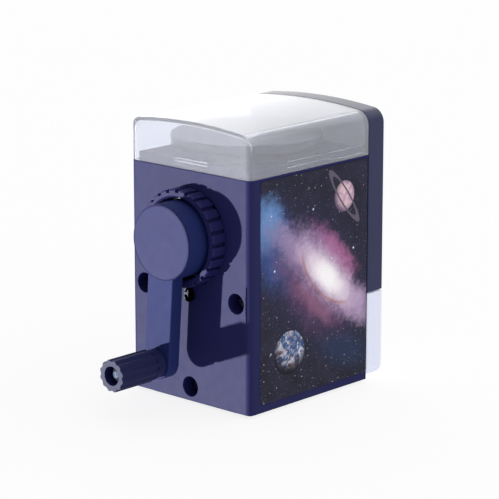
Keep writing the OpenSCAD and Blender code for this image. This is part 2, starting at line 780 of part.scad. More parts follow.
module front_plate() {
    color(navy) difference() {
        carry(back_in - 0.05, shell_d + plate_t) arch_outline(half_w, plate_bottom, crown_z, shoulder_r, arch_r);
        carry(back_in - 1, shell_d + plate_t - plate_wall)
            arch_outline(half_w - plate_wall, plate_bottom + plate_wall, crown_z - plate_wall,
                shoulder_r - plate_wall, arch_r - plate_wall);
        bar(back_in, shell_d + plate_t + 1, bezel_r + 0.05);
        // Slot that the cam ring's lever comes out of
        carry(shell_d, shell_d + plate_t + 1) translate([0, axis_z])
            ring_slice(lever_r0 - 0.4, lever_r1 + 0.4, lever_rest - cam_turn - lever_arc / 2 - 3,
                lever_rest + lever_arc / 2 + 3);
    }
    // Fixed tab that the finger pushes against
    color(navy) carry(shell_d + plate_t - weld, shell_d + plate_t + lever_out) translate([0, axis_z])
        ring_slice(lever_r0, lever_r1, rest_tab_at - lever_arc / 2, rest_tab_at + lever_arc / 2);
}

module carriage_back() {
    rim = plate_wall + 0.3;
    color("#55586a") difference() {
        union() {
            carry(back_in, back_in + back_t) arch_outline(half_w - rim, plate_bottom + rim, crown_z - rim,
                shoulder_r - rim, arch_r - rim);
            // Rails beside each jaw
            carry(back_in + back_t - weld, back_in + back_t + guide_h - 0.1) translate([0, axis_z])
                for (i = [0:2], side = [-1, 1]) rotate(90 + i * 120)
                    translate([7, side * (jaw_w / 2 + 0.15) + (side < 0 ? -1.2 : 0)]) square([9.4, 1.2]);
        }
        bar(back_in - 1, back_in + back_t + 1, pencil_r + 0.6);
        for (side = [-1, 1]) bar(back_in - 1, back_in + back_t - 0.8, rod_r, side * rod_x, rod_z);
        for (side = [-1, 1]) bar(back_in - 1, back_in + back_t + 1, 1.05, side * rod_x, rod_z);
    }
}

module guide_rods() {
    color(steel) for (side = [-1, 1]) difference() {
        bar(rod_in, back_in + back_t - 0.8, rod_r, side * rod_x, rod_z);
        bar(back_in - 5, back_in + back_t, 1.05, side * rod_x, rod_z);
    }
}

module rod_clips() {
    color("#8d9096") for (side = [-1, 1]) difference() {
        bar(clip_in, clip_in + clip_t, clip_r, side * rod_x, rod_z);
        bar(clip_in - 1, clip_in + clip_t + 1, rod_r, side * rod_x, rod_z);
        translate([side * rod_x - rod_r * 0.7, face_y + clip_in - 1, rod_z - clip_r - 1])
            cube([rod_r * 1.4, clip_t + 2, clip_r + 1]);
    }
}

module rod_screws() {
    color(steel) for (side = [-1, 1]) mirror([0, 1, 0]) translate([0, -2 * face_y, 0])
        pan_screw(-(back_in + back_t + 1.4), side * rod_x, rod_z, 2.5, 1.4, 1, 6);
}

module pencil_bezel() {
    far = shell_d + plate_t;
    inner = cam_in + cam_t + 0.4;
    color(steel) turned([
        [bezel_bore, inner], [bezel_r, inner], [bezel_r, far], [bezel_flange, far], [bezel_flange, far + bezel_out - 0.5],
        [bezel_flange - 0.5, far + bezel_out], [bezel_bore + 1.2, far + bezel_out], [bezel_bore, far]
    ]);
}

module cam_ring() {
    slot_r0 = jaw_pin_at;
    slot_r1 = jaw_pin_at + jaw_travel;
    slot_half = jaw_pin_r + 0.3;
    color(dark_navy) {
        difference() {
            bar(cam_in, cam_in + cam_t, cam_r);
            bar(cam_in - 1, cam_in + cam_t + 1, cam_bore);
            // One slot for each jaw's pin, from its closed place to its open place
            carry(cam_in - 1, cam_in + cam_t + 1) translate([0, axis_z]) for (i = [0:2]) rotate(90 + i * 120) {
                translate([slot_r0, 0]) circle(r = slot_half);
                for (step = [1:6]) let(share = step / 6) rotate(cam_turn * share)
                    translate([slot_r0 + (slot_r1 - slot_r0) * share, 0]) circle(r = slot_half);
            }
        }
        carry(cam_in + cam_t - weld, shell_d + plate_t + lever_out) translate([0, axis_z])
            ring_slice(lever_r0, lever_r1, lever_rest - lever_arc / 2, lever_rest + lever_arc / 2);
    }
}

module jaw(i) {
    color("#a6a9af") translate([0, 0, axis_z]) rotate([0, -i * 120, 0]) translate([0, 0, -axis_z]) {
        carry(jaw_in, jaw_in + jaw_t) translate([0, axis_z + jaw_gap]) polygon([
            [-0.8, 0], [0.8, 0], [jaw_w / 2, 3], [jaw_w / 2, jaw_l], [-jaw_w / 2, jaw_l], [-jaw_w / 2, 3]
        ]);
        bar(jaw_in + jaw_t - weld, cam_in + cam_t - 0.3, jaw_pin_r, 0, axis_z + jaw_pin_at);
    }
}

module jaw_1() {
    jaw(0);
}

module jaw_2() {
    jaw(1);
}

module jaw_3() {
    jaw(2);
}

// ---- Drawer ----

module drawer_front_outline(inset) {
    soft_rectangle(inset - half_w, half_w - inset, front_z + inset, drawer_top + drawer_corner, drawer_corner - inset);
}

module drawer() {
    tray_h = tray_top - tray_z;
    color("#e3e6f0") difference() {
        union() {
            intersection() {
                carry(back_in, shell_d + plate_t) drawer_front_outline(0);
                translate([-half_w, seam_y, 0]) cube([body_w, plate_t, drawer_top]);
            }
            translate([-tray_half, face_y + tray_in, tray_z]) cube([2 * tray_half, back_in - tray_in + 1, tray_h]);
            // Lip for the fingers
            translate([-13, front_y - weld, drawer_top - 6]) cube([26, 2.4, 2.2]);
        }
        translate([drawer_wall - tray_half, face_y + tray_in + drawer_wall, tray_z + drawer_wall])
            cube([2 * (tray_half - drawer_wall), front_y - front_wall - face_y - tray_in - drawer_wall, drawer_top]);
        intersection() {
            carry(back_in + front_wall, shell_d + plate_t - front_wall) drawer_front_outline(front_wall);
            translate([-half_w, seam_y, tray_z + drawer_wall]) cube([body_w, plate_t, drawer_top]);
        }
    }
}

outer_shell();
base_pad();
inner_frame();
top_deck();
side_print_left();
side_print_right();
gear_housing();
rear_bush();
front_bush();
rod_bushes();
shell_screws();
stop_screw();
feed_springs();
clear_lid();
pot_cap();
lock_ring();
crank_arm();
hub_cap();
crank_screw();
cutter_carrier();
cutter_shaft();
grip_pin();
grip();
helical_cutter();
cutter_pinion();
front_plate();
carriage_back();
guide_rods();
rod_clips();
pencil_bezel();
rod_screws();
cam_ring();
jaw_1();
jaw_2();
jaw_3();
drawer();
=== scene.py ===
"""Looks of a hand-crank desktop pencil sharpener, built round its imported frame.

Lengths in the classes are millimetres, and mm() turns them to metres where a mesh is made.
+Z is up, the crank is on the -Y side, the pencil goes in from +Y, and the printed films are
on the two X sides.
"""

from __future__ import annotations

import logging
import math
from collections.abc import Callable, Iterable, Sequence
from dataclasses import dataclass
from enum import Enum
from typing import Any

import bmesh
import bpy
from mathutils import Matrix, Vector


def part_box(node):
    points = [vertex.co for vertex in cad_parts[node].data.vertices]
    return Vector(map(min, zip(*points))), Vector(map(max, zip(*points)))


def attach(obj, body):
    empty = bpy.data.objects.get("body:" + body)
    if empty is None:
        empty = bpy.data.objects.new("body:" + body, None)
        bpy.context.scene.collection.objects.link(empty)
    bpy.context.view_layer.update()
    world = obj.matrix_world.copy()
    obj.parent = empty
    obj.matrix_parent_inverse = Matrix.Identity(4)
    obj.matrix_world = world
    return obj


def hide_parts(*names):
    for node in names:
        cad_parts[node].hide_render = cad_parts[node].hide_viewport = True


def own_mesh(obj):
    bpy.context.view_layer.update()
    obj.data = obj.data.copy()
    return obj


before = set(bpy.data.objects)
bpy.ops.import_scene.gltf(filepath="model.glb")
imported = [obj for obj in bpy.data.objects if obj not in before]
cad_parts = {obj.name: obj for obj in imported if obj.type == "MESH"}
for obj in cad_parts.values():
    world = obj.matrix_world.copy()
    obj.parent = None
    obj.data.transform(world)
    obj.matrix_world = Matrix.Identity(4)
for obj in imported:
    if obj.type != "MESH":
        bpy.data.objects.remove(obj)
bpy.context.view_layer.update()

logging.basicConfig(level=logging.INFO, format="%(message)s")
log = logging.getLogger("sharpener")

MM = 0.001
AXIS_Z = 70.0            # mm up to the crank's and the pencil's axis
SLOT_REACH = 22.0        # mm from that axis within which the plate's openings lie


def mm(*values: float) -> Vector:
    """Turns a place in millimetres to metres."""
    return Vector(values) * MM


def linear(hex_colour: str) -> tuple[float, float, float, float]:
    """Turns an sRGB hex colour to linear light.

    Args:
        hex_colour: six hex digits, with or without a hash.

    Returns:
        Linear red, green, blue and an alpha of 1.
    """
    digits = hex_colour.lstrip("#")
    parts = [int(digits[i:i + 2], 16) / 255 for i in (0, 2, 4)]
    red, green, blue = (c / 12.92 if c <= 0.04045 else ((c + 0.055) / 1.055) ** 2.4 for c in parts)
    return red, green, blue, 1.0


def add_node(tree: bpy.types.NodeTree, kind: str, settings: dict[str, Any] | None = None,
             inputs: dict[str | int, Any] | None = None) -> bpy.types.Node:
    """Adds a node with its settings and what goes into it.

    Args:
        tree: the tree that the node joins.
        kind: the node's type name.
        settings: attributes of the node.
        inputs: for each input's name or number, a value or the socket that feeds it.

    Returns:
        The new node.
    """
    node = tree.nodes.new(kind)
    for name, value in (settings or {}).items():
        setattr(node, name, value)
    for name, value in (inputs or {}).items():
        if isinstance(value, bpy.types.NodeSocket):
            tree.links.new(value, node.inputs[name])
        else:
            node.inputs[name].default_value = value
    return node


# ---------------------------------------------------------------- finishes


@dataclass(frozen=True)
class Finish:
    """What every finish shares: a name, and a tree that ends in one surface."""

    name: str

    def material(self) -> bpy.types.Material:
        """Gives the finish's material, made the first time that it is asked for."""
        made = bpy.data.materials.get(self.name)
        if made is None:
            made = bpy.data.materials.new(self.name)
            made.use_nodes = True
            made.node_tree.nodes.clear()
            shader = self.surface(made.node_tree)
            add_node(made.node_tree, "ShaderNodeOutputMaterial", inputs={"Surface": shader.outputs[0]})
        return made

    def surface(self, tree: bpy.types.NodeTree) -> bpy.types.Node:
        """Builds the shader. Each finish has its own."""
        raise NotImplementedError

    @staticmethod
    def grain(tree: bpy.types.NodeTree, size_mm: float, detail: float = 3.0) -> bpy.types.Node:
        """Noise on the piece's own coordinates.

        Args:
            tree: the material's tree.
            size_mm: width of one speck.
            detail: octaves of finer noise.

        Returns:
            The noise node.
        """
        place = add_node(tree, "ShaderNodeTexCoord")
        return add_node(tree, "ShaderNodeTexNoise", inputs={
            "Vector": place.outputs["Object"], "Scale": 1.0 / (size_mm * MM), "Detail": detail})

    @staticmethod
    def spread(tree: bpy.types.NodeTree, source: bpy.types.NodeSocket,
               low: float, high: float) -> bpy.types.NodeSocket:
        """Maps noise from its usual middle range to low..high.

        Args:
            tree: the material's tree.
            source: the noise value.
            low: value where the noise is weak.
            high: value where it is strong.

        Returns:
            The mapped value's socket.
        """
        node = add_node(tree, "ShaderNodeMapRange", inputs={
            "Value": source, "From Min": 0.3, "From Max": 0.7, "To Min": low, "To Max": high})
        return node.outputs["Result"]


@dataclass(frozen=True)
class MouldedPlastic(Finish):
    """Injection-moulded ABS from a spark-textured or polished tool.

    A textured tool leaves a fine dull grain that spreads the light into one soft sheen, and a
    polished one leaves a gloss with faint flow ripples.
    """

    colour: str = "#808080"
    roughness: float = 0.6
    grain_mm: float = 0.35
    grain_height_mm: float = 0.012
    mottle: float = 0.06
    coat: float = 0.0
    ior: float = 1.53

    def surface(self, tree: bpy.types.NodeTree) -> bpy.types.Node:
        """Builds the plastic: its colour varies a little over 9 mm, and its gloss over 4 mm."""
        base = linear(self.colour)
        darker = tuple(c * (1 - self.mottle) for c in base[:3]) + (1.0,)
        lighter = tuple(c * (1 + self.mottle) for c in base[:3]) + (1.0,)
        cloud = self.grain(tree, 9.0, 2.0)
        tint = add_node(tree, "ShaderNodeMix", {"data_type": "RGBA"}, {
            0: self.spread(tree, cloud.outputs["Fac"], 0.0, 1.0), 6: darker, 7: lighter})
        gloss = self.grain(tree, 4.0, 4.0)
        fine = self.grain(tree, self.grain_mm, 2.0)
        bump = add_node(tree, "ShaderNodeBump", inputs={
            "Strength": 1.0, "Distance": self.grain_height_mm * MM, "Height": fine.outputs["Fac"]})
        dullness = self.spread(tree, gloss.outputs["Fac"], self.roughness * 0.98, self.roughness * 1.02)
        return add_node(tree, "ShaderNodeBsdfPrincipled", inputs={
            "Base Color": tint.outputs[2],
            "Roughness": dullness,
            "IOR": self.ior, "Coat Weight": self.coat, "Coat Roughness": 0.08,
            "Normal": bump.outputs["Normal"]})


@dataclass(frozen=True)
class ClearPlastic(Finish):
    """Clear polystyrene from a polished tool: bright edges, mirror-like at a glance, hardly tinted.

    A real clear sheet is bright at its edges with the light that it guides; glow is an emission that paints
    that brightness on, a painted glow and not light from any lamp.
    """

    tint: str = "#f5f7ff"
    roughness: float = 0.04
    haze: float = 0.14
    # Emission strength: a painted glow, not light from any lamp
    glow: float = 0.02

    def surface(self, tree: bpy.types.NodeTree) -> bpy.types.Node:
        """Builds the clear plastic, with the faint waviness of a moulded sheet."""
        wave = self.grain(tree, 30.0, 0.0)
        bump = add_node(tree, "ShaderNodeBump", inputs={
            "Strength": 1.0, "Distance": 0.02 * MM, "Height": wave.outputs["Fac"]})
        scuff = self.grain(tree, 2.5, 4.0)
        # The emission below is the painted glow
        return add_node(tree, "ShaderNodeBsdfPrincipled", inputs={
            "Base Color": linear(self.tint), "Transmission Weight": 1.0 - self.haze, "IOR": 1.59,
            "Emission Color": linear("#eef0ff"), "Emission Strength": self.glow,
            "Roughness": self.spread(tree, scuff.outputs["Fac"], self.roughness * 0.8, self.roughness * 1.3),
            "Normal": bump.outputs["Normal"]})


@dataclass(frozen=True)
class FrostedPlastic(Finish):
    """Frosted polypropylene: light comes through it milky, with a soft sheen on the skin and a faint
    emission over it all that is a painted glow.
    """

    colour: str = "#e4e7f7"
    through: float = 0.08
    # Emission strength: a painted glow, not light from any lamp
    glow: float = 0.08

    def surface(self, tree: bpy.types.NodeTree) -> bpy.types.Node:
        """Builds the frosted plastic, a little cloudier in places."""
        cloud = self.grain(tree, 7.0, 3.0)
        fine = self.grain(tree, 0.4, 2.0)
        bump = add_node(tree, "ShaderNodeBump", inputs={
            "Strength": 0.8, "Distance": 0.01 * MM, "Height": fine.outputs["Fac"]})
        return add_node(tree, "ShaderNodeBsdfPrincipled", inputs={
            "Base Color": linear(self.colour), "Transmission Weight": self.through, "IOR": 1.49,
            "Subsurface Weight": 0.35, "Subsurface Radius": (0.9, 1.0, 1.2), "Subsurface Scale": 2.0 * MM,
            "Emission Color": linear("#dfe4ff"), "Emission Strength": self.glow,
            "Roughness": self.spread(tree, cloud.outputs["Fac"], 0.38, 0.5),
            "Normal": bump.outputs["Normal"]})


@dataclass(frozen=True)
class Rubber(Finish):
    """Black moulded rubber: matte, greyer where it is worn."""

    colour: str = "#131313"

    def surface(self, tree: bpy.types.NodeTree) -> bpy.types.Node:
        """Builds the rubber with a coarse grain."""
        worn = self.grain(tree, 3.0, 4.0)
        tint = add_node(tree, "ShaderNodeMix", {"data_type": "RGBA"}, {
            0: self.spread(tree, worn.outputs["Fac"], 0.0, 0.6),
            6: linear(self.colour), 7: linear("#2b2b2c")})
        bump = add_node(tree, "ShaderNodeBump", inputs={
            "Strength": 1.0, "Distance": 0.03 * MM, "Height": worn.outputs["Fac"]})
        return add_node(tree, "ShaderNodeBsdfPrincipled", inputs={
            "Base Color": tint.outputs[2], "Roughness": 0.85, "IOR": 1.52, "Normal": bump.outputs["Normal"]})


class MetalSurface(Enum):
    """How a metal surface was made: its roughness, then its grain's width and height in mm."""

    POLISHED = (0.12, 1.2, 0.002)
    GROUND = (0.28, 0.35, 0.004)
    DRAWN = (0.33, 0.5, 0.004)
    CAST = (0.5, 0.7, 0.02)


@dataclass(frozen=True)
class Metal(Finish):
    """Bare or plated metal. The grain's height and the roughness follow how it was made."""

    colour: str = "#c0c2c6"
    made: MetalSurface = MetalSurface.DRAWN

    def surface(self, tree: bpy.types.NodeTree) -> bpy.types.Node:
        """Builds the metal, with gloss that changes a little from place to place."""
        roughness, grain_mm, height_mm = self.made.value
        mark = self.grain(tree, grain_mm, 3.0)
        bump = add_node(tree, "ShaderNodeBump", inputs={
            "Strength": 1.0, "Distance": height_mm * MM, "Height": mark.outputs["Fac"]})
        return add_node(tree, "ShaderNodeBsdfPrincipled", inputs={
            "Base Color": linear(self.colour), "Metallic": 1.0,
            "Roughness": self.spread(tree, mark.outputs["Fac"], roughness * 0.8, roughness * 1.25),
            "Normal": bump.outputs["Normal"]})


class Side(Enum):
    """Which X side a printed film is on, as the sign of X."""

    LEFT = -1
    RIGHT = 1


@dataclass(frozen=True)
class Glow:
    """One soft patch of light in the printed sky, in mm from the film's middle."""

    colour: str
    middle: tuple[float, float]
    size: tuple[float, float]
    tilt: float = 0.0
    strength: float = 1.0
    ragged: float = 0.5


@dataclass(frozen=True)
class StarrySky(Finish):
    """Satin-laminated paper film, printed with a made-up galaxy, two planets and stars.

    The laminate gives one even satin skin over ink that is flat and soft-edged.
    """

    side: Side = Side.RIGHT
    middle: tuple[float, float] = (0.0, 49.5)
    night: str = "#1b1a28"
    glows: tuple[Glow, ...] = (
        Glow("#2a2748", (-4.0, 4.0), (46.0, 30.0), -38.0, 0.95),
        Glow("#2c4f92", (-24.0, 18.0), (15.0, 23.0), 20.0, 0.95, 0.6),
        Glow("#6f9bd4", (-27.0, 27.0), (10.0, 13.0), 10.0, 0.8, 0.9),
        Glow("#1f3358", (18.0, -32.0), (20.0, 9.0), -20.0, 0.7),
        Glow("#5a4f78", (-13.0, 12.0), (25.0, 14.0), -38.0, 0.85, 0.7),
        Glow("#8f84ae", (-15.0, 16.0), (20.0, 7.0), -40.0, 0.75, 1.0),
        Glow("#67436c", (4.0, -2.0), (32.0, 20.0), -40.0, 0.9, 0.55),
        Glow("#a8629a", (10.0, 12.0), (19.0, 7.5), -42.0, 0.5, 1.0),
        Glow("#94607c", (0.0, -9.0), (20.0, 5.0), -42.0, 0.55, 0.8),
        Glow("#b59abf", (24.0, -13.0), (18.0, 9.0), -40.0, 0.9, 0.6),
        Glow("#a98fb8", (4.0, 4.0), (34.0, 12.5), -42.0, 0.9, 0.6),
        Glow("#b86a98", (16.0, 7.5), (16.0, 6.0), -44.0, 0.45, 1.0),
        Glow("#d9c3d6", (8.0, 0.5), (26.0, 9.0), -42.0, 0.9, 0.5),
        Glow("#f0e6ee", (8.0, 0.0), (18.0, 7.2), -42.0, 0.9, 0.35),
        Glow("#fdfafc", (8.0, 0.0), (11.0, 5.2), -42.0, 1.0, 0.2),
    )

    def surface(self, tree: bpy.types.NodeTree) -> bpy.types.Node:
        """Builds the print layer by layer, from the night sky up to the stars, and laminates it."""
        place = self.place(tree)
        ragged = add_node(tree, "ShaderNodeTexNoise", inputs={
            "Vector": place, "Scale": 0.11, "Detail": 7.0, "Roughness": 0.62})
        mist = add_node(tree, "ShaderNodeTexNoise", inputs={
            "Vector": place, "Scale": 0.5, "Detail": 5.0, "Roughness": 0.7})
        paler = self.spread(tree, ragged.outputs["Fac"], 0.0, 1.0)
        sky = self.lay(tree, linear(self.night), linear("#2b2a44"), paler)
        for glow in self.glows:
            patch = self.patch(tree, place, glow, ragged.outputs["Fac"], mist.outputs["Fac"])
            sky = self.lay(tree, sky, linear(glow.colour), patch)
        sky = self.dust_arc(tree, place, sky, mist.outputs["Fac"])
        sky = self.stars(tree, place, sky)
        sky = self.cloudy_planet(tree, place, sky)
        sky = self.ringed_planet(tree, place, sky)
        return add_node(tree, "ShaderNodeBsdfPrincipled", inputs={
            "Base Color": sky, "Roughness": 0.66, "IOR": 1.42})

    def place(self, tree: bpy.types.NodeTree) -> bpy.types.NodeSocket:
        """Turns the piece's own coordinates to mm across (X) and up (Y) from the film's middle."""
        own = add_node(tree, "ShaderNodeTexCoord")
        axes = add_node(tree, "ShaderNodeSeparateXYZ", inputs={0: own.outputs["Object"]})
        across = add_node(tree, "ShaderNodeMath", {"operation": "MULTIPLY_ADD"}, {
            0: axes.outputs["Y"], 1: self.side.value / MM, 2: -self.side.value * self.middle[0]})
        up = add_node(tree, "ShaderNodeMath", {"operation": "MULTIPLY_ADD"}, {
            0: axes.outputs["Z"], 1: 1 / MM, 2: -self.middle[1]})
        both = add_node(tree, "ShaderNodeCombineXYZ", inputs={0: across.outputs[0], 1: up.outputs[0]})
        return both.outputs[0]

    @staticmethod
    def lay(tree: bpy.types.NodeTree, under: Any, over: Any, share: Any) -> bpy.types.NodeSocket:
        """Lays one ink over another.

        Args:
            tree: the material's tree.
            under: the colour or socket below.
            over: the colour or socket on top.
            share: how much of the top one shows.

        Returns:
            The mixed colour's socket.
        """
        mix = add_node(tree, "ShaderNodeMix", {"data_type": "RGBA"}, {0: share, 6: under, 7: over})
        return mix.outputs[2]

    @staticmethod
    def local(tree: bpy.types.NodeTree, place: bpy.types.NodeSocket, middle: Sequence[float],
              size: Sequence[float], tilt: float) -> bpy.types.NodeSocket:
        """Coordinates that are 1 long on the rim of a tilted ellipse.

        Args:
            tree: the material's tree.
            place: mm from the film's middle.
            middle: the ellipse's middle, in mm.
            size: its half axes, in mm.
            tilt: its turn, in degrees.

        Returns:
            The local coordinates' socket.
        """
        node = add_node(tree, "ShaderNodeMapping", {"vector_type": "TEXTURE"}, {
            "Vector": place, "Location": (middle[0], middle[1], 0.0),
            "Rotation": (0.0, 0.0, math.radians(tilt)), "Scale": (size[0], size[1], 1.0)})
        return node.outputs[0]

    def patch(self, tree: bpy.types.NodeTree, place: bpy.types.NodeSocket, glow: Glow,
              ragged: bpy.types.NodeSocket, mist: bpy.types.NodeSocket) -> bpy.types.NodeSocket:
        """How strongly a glow shows: full in its middle, gone past its rim, torn by the noise."""
        local = self.local(tree, place, glow.middle, glow.size, glow.tilt)
        far = add_node(tree, "ShaderNodeVectorMath", {"operation": "LENGTH"}, {0: local})
        torn = add_node(tree, "ShaderNodeMath", {"operation": "MULTIPLY_ADD"}, {
            0: ragged, 1: glow.ragged * 1.6, 2: -glow.ragged * 0.8})
        finer = add_node(tree, "ShaderNodeMath", {"operation": "MULTIPLY_ADD"}, {
            0: mist, 1: glow.ragged * 0.9, 2: -glow.ragged * 0.45})
        edge = add_node(tree, "ShaderNodeMath", inputs={0: far.outputs["Value"], 1: torn.outputs[0]})
        edge = add_node(tree, "ShaderNodeMath", inputs={0: edge.outputs[0], 1: finer.outputs[0]})
        share = add_node(tree, "ShaderNodeMapRange", {"interpolation_type": "SMOOTHSTEP"}, {
            "Value": edge.outputs[0], "From Min": 0.25, "From Max": 1.15,
            "To Min": glow.strength, "To Max": 0.0})
        return share.outputs["Result"]

    def dust_arc(self, tree: bpy.types.NodeTree, place: bpy.types.NodeSocket, sky: bpy.types.NodeSocket,
                 mist: bpy.types.NodeSocket) -> bpy.types.NodeSocket:
        """A thin orange-brown arc of dust along the lower left of the galaxy's heart."""
        local = self.local(tree, place, (9.5, 3.5), (20.5, 11.0), -42.0)
        far = add_node(tree, "ShaderNodeVectorMath", {"operation": "LENGTH"}, {0: local})
        rim = add_node(tree, "ShaderNodeMath", {"operation": "SUBTRACT"}, {0: far.outputs["Value"], 1: 1.0})
        rim = add_node(tree, "ShaderNodeMath", {"operation": "ABSOLUTE"}, {0: rim.outputs[0]})
        rim = add_node(tree, "ShaderNodeMath", {"operation": "MULTIPLY_ADD"}, {
            0: mist, 1: 0.12, 2: rim.outputs[0]})
        band = add_node(tree, "ShaderNodeMapRange", {"interpolation_type": "SMOOTHSTEP"}, {
            "Value": rim.outputs[0], "From Min": 0.05, "From Max": 0.15, "To Min": 0.6, "To Max": 0.0})
        axes = add_node(tree, "ShaderNodeSeparateXYZ", inputs={0: local})
        lower = add_node(tree, "ShaderNodeMapRange", {"interpolation_type": "SMOOTHSTEP"}, {
            "Value": axes.outputs["Y"], "From Min": -0.75, "From Max": -0.2, "To Min": 1.0, "To Max": 0.0})
        share = add_node(tree, "ShaderNodeMath", {"operation": "MULTIPLY"}, {
            0: band.outputs["Result"], 1: lower.outputs["Result"]})
        return self.lay(tree, sky, linear("#a8674d"), share.outputs[0])

    def stars(self, tree: bpy.types.NodeTree, place: bpy.types.NodeSocket, sky: bpy.types.NodeSocket,
              ) -> bpy.types.NodeSocket:
        """Three layers of stars: fine dust, small stars and a few big ones, drawn 0.15 to 0.8 mm wide."""
        for spacing, radius, keep, colour in ((1.4, 0.12, 0.6, "#8f8aa6"), (3.8, 0.18, 0.66, "#d6d2e3"),
                                              (12.0, 0.4, 0.62, "#e6ecff")):
            cell = add_node(tree, "ShaderNodeTexVoronoi", {"voronoi_dimensions": "2D"}, {
                "Vector": place, "Scale": 1.0 / spacing, "Randomness": 1.0})
            spot = add_node(tree, "ShaderNodeMapRange", {"interpolation_type": "SMOOTHSTEP"}, {
                "Value": cell.outputs["Distance"], "From Min": radius * 0.35 / spacing,
                "From Max": radius * 1.7 / spacing, "To Min": 1.0, "To Max": 0.0})
            chance = add_node(tree, "ShaderNodeSeparateColor", inputs={0: cell.outputs["Color"]})
            bright = add_node(tree, "ShaderNodeMapRange", inputs={
                "Value": chance.outputs[0], "From Min": keep, "From Max": 1.0, "To Min": 0.0, "To Max": 1.0})
            share = add_node(tree, "ShaderNodeMath", {"operation": "MULTIPLY"}, {
                0: spot.outputs["Result"], 1: bright.outputs["Result"]})
            sky = self.lay(tree, sky, linear(colour), share.outputs[0])
        return sky

    def disc(self, tree: bpy.types.NodeTree, local: bpy.types.NodeSocket, softness: float,
             ) -> bpy.types.NodeSocket:
        """A filled round spot with a slightly soft rim, in local coordinates."""
        far = add_node(tree, "ShaderNodeVectorMath", {"operation": "LENGTH"}, {0: local})
        share = add_node(tree, "ShaderNodeMapRange", {"interpolation_type": "SMOOTHSTEP"}, {
            "Value": far.outputs["Value"], "From Min": 1.0 - softness, "From Max": 1.0,
            "To Min": 1.0, "To Max": 0.0})
        return share.outputs["Result"]

    def cloudy_planet(self, tree: bpy.types.NodeTree, place: bpy.types.NodeSocket, sky: bpy.types.NodeSocket,
                      ) -> bpy.types.NodeSocket:
        """A made-up world of blue seas, brown land and white cloud, dark on its lower rim."""
        local = self.local(tree, place, (-15.2, -27.2), (9.3, 9.3), 0.0)
        land = add_node(tree, "ShaderNodeTexNoise", inputs={
            "Vector": local, "Scale": 1.4, "Detail": 6.0, "Roughness": 0.65, "Distortion": 0.6})
        cloud = add_node(tree, "ShaderNodeTexNoise", inputs={
            "Vector": local, "Scale": 2.3, "Detail": 8.0, "Roughness": 0.7, "Distortion": 1.4})
        shore = self.step(tree, land.outputs["Fac"], 0.5, 0.58)
        ground = self.lay(tree, linear("#2b4a7d"), linear("#6e4a48"), shore)
        ground = self.lay(tree, ground, linear("#c9cbdc"), self.step(tree, cloud.outputs["Fac"], 0.44, 0.62))
        shade = self.disc(tree, self.local(tree, place, (-14.2, -24.0), (11.5, 11.5), 0.0), 0.55)
        ground = self.lay(tree, linear("#1b1724"), ground, shade)
        return self.lay(tree, sky, ground, self.disc(tree, local, 0.04))

    def ringed_planet(self, tree: bpy.types.NodeTree, place: bpy.types.NodeSocket, sky: bpy.types.NodeSocket,
                      ) -> bpy.types.NodeSocket:
        """A banded rose-grey world, with a thin tilted ring in front of it."""
        local = self.local(tree, place, (18.0, 32.0), (6.4, 6.8), -20.0)
        band = add_node(tree, "ShaderNodeTexNoise", {"noise_dimensions": "2D"}, {
            "Vector": local, "Scale": 1.6, "Detail": 4.0, "Distortion": 0.8})
        bands = self.step(tree, band.outputs["Fac"], 0.35, 0.65)
        ground = self.lay(tree, linear("#b08fac"), linear("#dcbcc2"), bands)
        shade = self.disc(tree, self.local(tree, place, (19.2, 32.8), (8.0, 8.4), 0.0), 0.6)
        ground = self.lay(tree, linear("#4a3a5e"), ground, shade)
        sky = self.lay(tree, sky, ground, self.disc(tree, local, 0.1))
        ring = self.local(tree, place, (18.0, 32.0), (15.5, 3.0), -52.0)
        far = add_node(tree, "ShaderNodeVectorMath", {"operation": "LENGTH"}, {0: ring})
        rim = add_node(tree, "ShaderNodeMath", {"operation": "SUBTRACT"}, {0: far.outputs["Value"], 1: 0.86})
        rim = add_node(tree, "ShaderNodeMath", {"operation": "ABSOLUTE"}, {0: rim.outputs[0]})
        share = self.step(tree, rim.outputs[0], 0.15, 0.1)
        return self.lay(tree, sky, linear("#5d5568"), share)

    @staticmethod
    def step(tree: bpy.types.NodeTree, value: bpy.types.NodeSocket,
             start: float, end: float) -> bpy.types.NodeSocket:
        """A soft step from 0 at start to 1 at end."""
        node = add_node(tree, "ShaderNodeMapRange", {"interpolation_type": "SMOOTHSTEP"}, {
            "Value": value, "From Min": min(start, end), "From Max": max(start, end),
            "To Min": 0.0 if start < end else 1.0, "To Max": 1.0 if start < end else 0.0})
        return node.outputs["Result"]


# Spark-textured ABS, dyed navy: one broad soft sheen, deep blue in the shade
NAVY_ABS = MouldedPlastic("textured_navy_abs", "#121450", 0.68, mottle=0.04, ior=1.43)
# The front plate's own batch: greyer, with a skin that shines along its top
PLATE_ABS = MouldedPlastic("greyish_navy_abs", "#2a2e52", 0.6, mottle=0.04, coat=0.5, ior=1.44)
# The same plastic where it was moulded against a polished tool
GLOSS_NAVY_ABS = MouldedPlastic("polished_navy_abs", "#0f1236", 0.3, 0.9, 0.003, 0.05, 0.3)
# Slate-blue ABS of the crank, a shade lighter than the shell
SLATE_ABS = MouldedPlastic("slate_blue_abs", "#101f5a", 0.7, mottle=0.03, ior=1.38)
# The hub cap's disc, paler and a little shinier than the arm
HUB_ABS = MouldedPlastic("pale_slate_abs", "#181e58", 0.68, mottle=0.03, ior=1.42)
# Soft-gloss ABS of the grip: streaks of light along the flutes, a pale blue end
GRIP_ABS = MouldedPlastic("soft_gloss_navy_abs", "#0d1446", 0.6, 0.8, 0.004, 0.04, ior=1.43)
# Grey ABS of the hidden mouldings, with dull sparkle from regrind
GREY_ABS = MouldedPlastic("dull_grey_abs", "#4a4c58", 0.62, 0.5, 0.02, 0.12)
# White acetal: waxy and a little soft to the eye
WHITE_ACETAL = MouldedPlastic("waxy_white_acetal", "#e3e3e0", 0.42, 0.6, 0.006, 0.03)
# Clear lid plastic; its default glow of 0.02 is a faint painted glow over the whole sheet
CLEAR_POLYSTYRENE = ClearPlastic("polished_clear_polystyrene")
